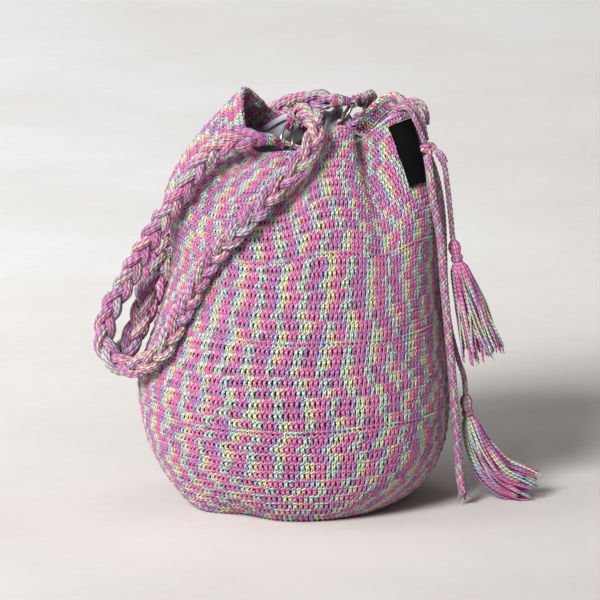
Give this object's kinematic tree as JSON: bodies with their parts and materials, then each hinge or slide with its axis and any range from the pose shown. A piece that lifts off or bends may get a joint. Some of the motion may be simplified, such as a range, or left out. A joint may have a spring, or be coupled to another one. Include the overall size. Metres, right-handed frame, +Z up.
{
  "type": "potli bag",
  "caption": "Crocheted drawstring bucket bag with a gathered, pleated mouth, a cloth lining, braided handles on steel rings, hanging tassels and a woven label",
  "frame": {"origin": "centre of the flat base, on the floor", "axes": "+Z up, -Y towards someone who looks at the front, +X to that person's right"},
  "size_m": [0.4357, 0.303, 0.4192],
  "materials": {
    "crochet_shell": "variegated crochet yarn",
    "lining_cloth": "smooth woven cloth",
    "ring_steel": "antique satin",
    "tab_yarn": "crochet yarn",
    "handle_yarn": "braided yarn",
    "whipping_yarn": "wrapped yarn",
    "cord_yarn": "twisted yarn cord",
    "knot_yarn": "knotted yarn",
    "tassel_yarn": "loose yarn threads",
    "binding_yarn": "wrapped yarn",
    "label_cloth": "woven ribbon"
  },
  "bodies": {
    "bag": {"bag_body": "crochet_shell", "lining": "lining_cloth", "tab_front": "tab_yarn", "tab_back": "tab_yarn", "handle_front": "handle_yarn", "handle_back": "handle_yarn", "whipping_front_left": "whipping_yarn", "whipping_front_right": "whipping_yarn", "whipping_back_left": "whipping_yarn", "whipping_back_right": "whipping_yarn", "drawstring": "cord_yarn", "knot": "knot_yarn", "drawstring_end_short": "cord_yarn", "drawstring_end_long": "cord_yarn", "tie_cord": "cord_yarn", "tie_cord_stub": "cord_yarn", "rim_tail": "cord_yarn", "tassel_short": "tassel_yarn", "tassel_short_binding": "binding_yarn", "tassel_long": "tassel_yarn", "tassel_long_binding": "binding_yarn", "label": "label_cloth"},
    "front_ring": {"ring_front": "ring_steel"},
    "back_ring": {"ring_back": "ring_steel"}
  },
  "joints": [
    {"name": "ring_front_turn", "type": "hinge", "parent": "bag", "child": "front_ring", "pos_m": [-0.013, -0.051, 0.3765], "axis": [0.9135, -0.4067, 0], "continuous": true},
    {"name": "ring_back_turn", "type": "hinge", "parent": "bag", "child": "back_ring", "pos_m": [0.0475, 0.022, 0.391], "axis": [0.8572, 0, -0.515], "continuous": true}
  ]
}
